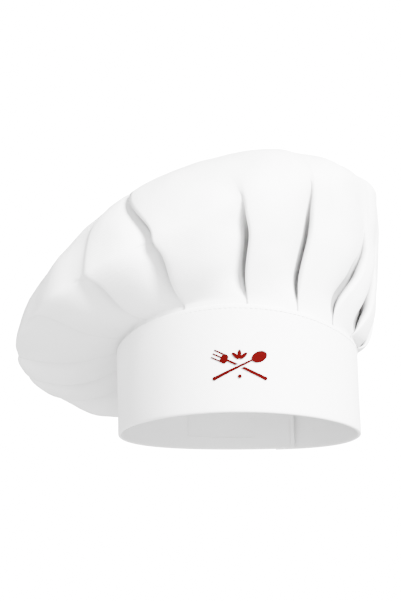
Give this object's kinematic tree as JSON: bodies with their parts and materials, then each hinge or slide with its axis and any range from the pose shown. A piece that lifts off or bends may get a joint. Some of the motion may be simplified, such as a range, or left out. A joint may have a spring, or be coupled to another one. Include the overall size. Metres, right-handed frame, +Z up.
{
  "type": "pleated chef hat",
  "caption": "Pleated full-crowned cook's hat with a stiffened head band, a hook-and-loop closure at the back and an embroidered utensil motif.",
  "frame": {"origin": "centre of the head opening, in the plane of the band's lower edge, on which the hat stands", "axes": "+Z up, out of the head; the front of the band faces -Y; +X is to the right when the front is looked at, and the crown leans over towards -X"},
  "size_m": [0.27, 0.264, 0.213],
  "materials": {
    "crown_twill": "soft matt woven cotton and polyester twill, white",
    "band_twill": "pressed matt woven cotton and polyester twill, white",
    "interfacing": "stiff non-woven interfacing, off white",
    "hook_tape": "woven tape with fine plastic hooks, white",
    "loop_tape": "woven tape with brushed loops, white",
    "sewing_thread": "twisted polyester thread, white",
    "embroidery_thread": "glossy rayon embroidery thread, dark red"
  },
  "bodies": {
    "hat": {"crown_cloth": "crown_twill", "slit_hem": "crown_twill", "band_cloth": "band_twill", "band_interfacing": "interfacing", "loop_tape": "loop_tape", "crown_seam_stitches": "sewing_thread", "underlap_stitches": "sewing_thread", "loop_tape_stitches": "sewing_thread", "emblem_spoon": "embroidery_thread", "emblem_fork": "embroidery_thread", "emblem_sprig": "embroidery_thread"},
    "tab": {"closure_tab": "band_twill", "tab_interfacing": "interfacing", "hook_tape": "hook_tape", "tab_stitches": "sewing_thread", "hook_tape_stitches": "sewing_thread"}
  },
  "joints": [
    {"name": "closure_peel", "type": "hinge", "parent": "hat", "child": "tab", "pos_m": [0.02837, 0.10026, 0.0235], "axis": [0, 0, -1], "range_deg": [0, 105]}
  ]
}
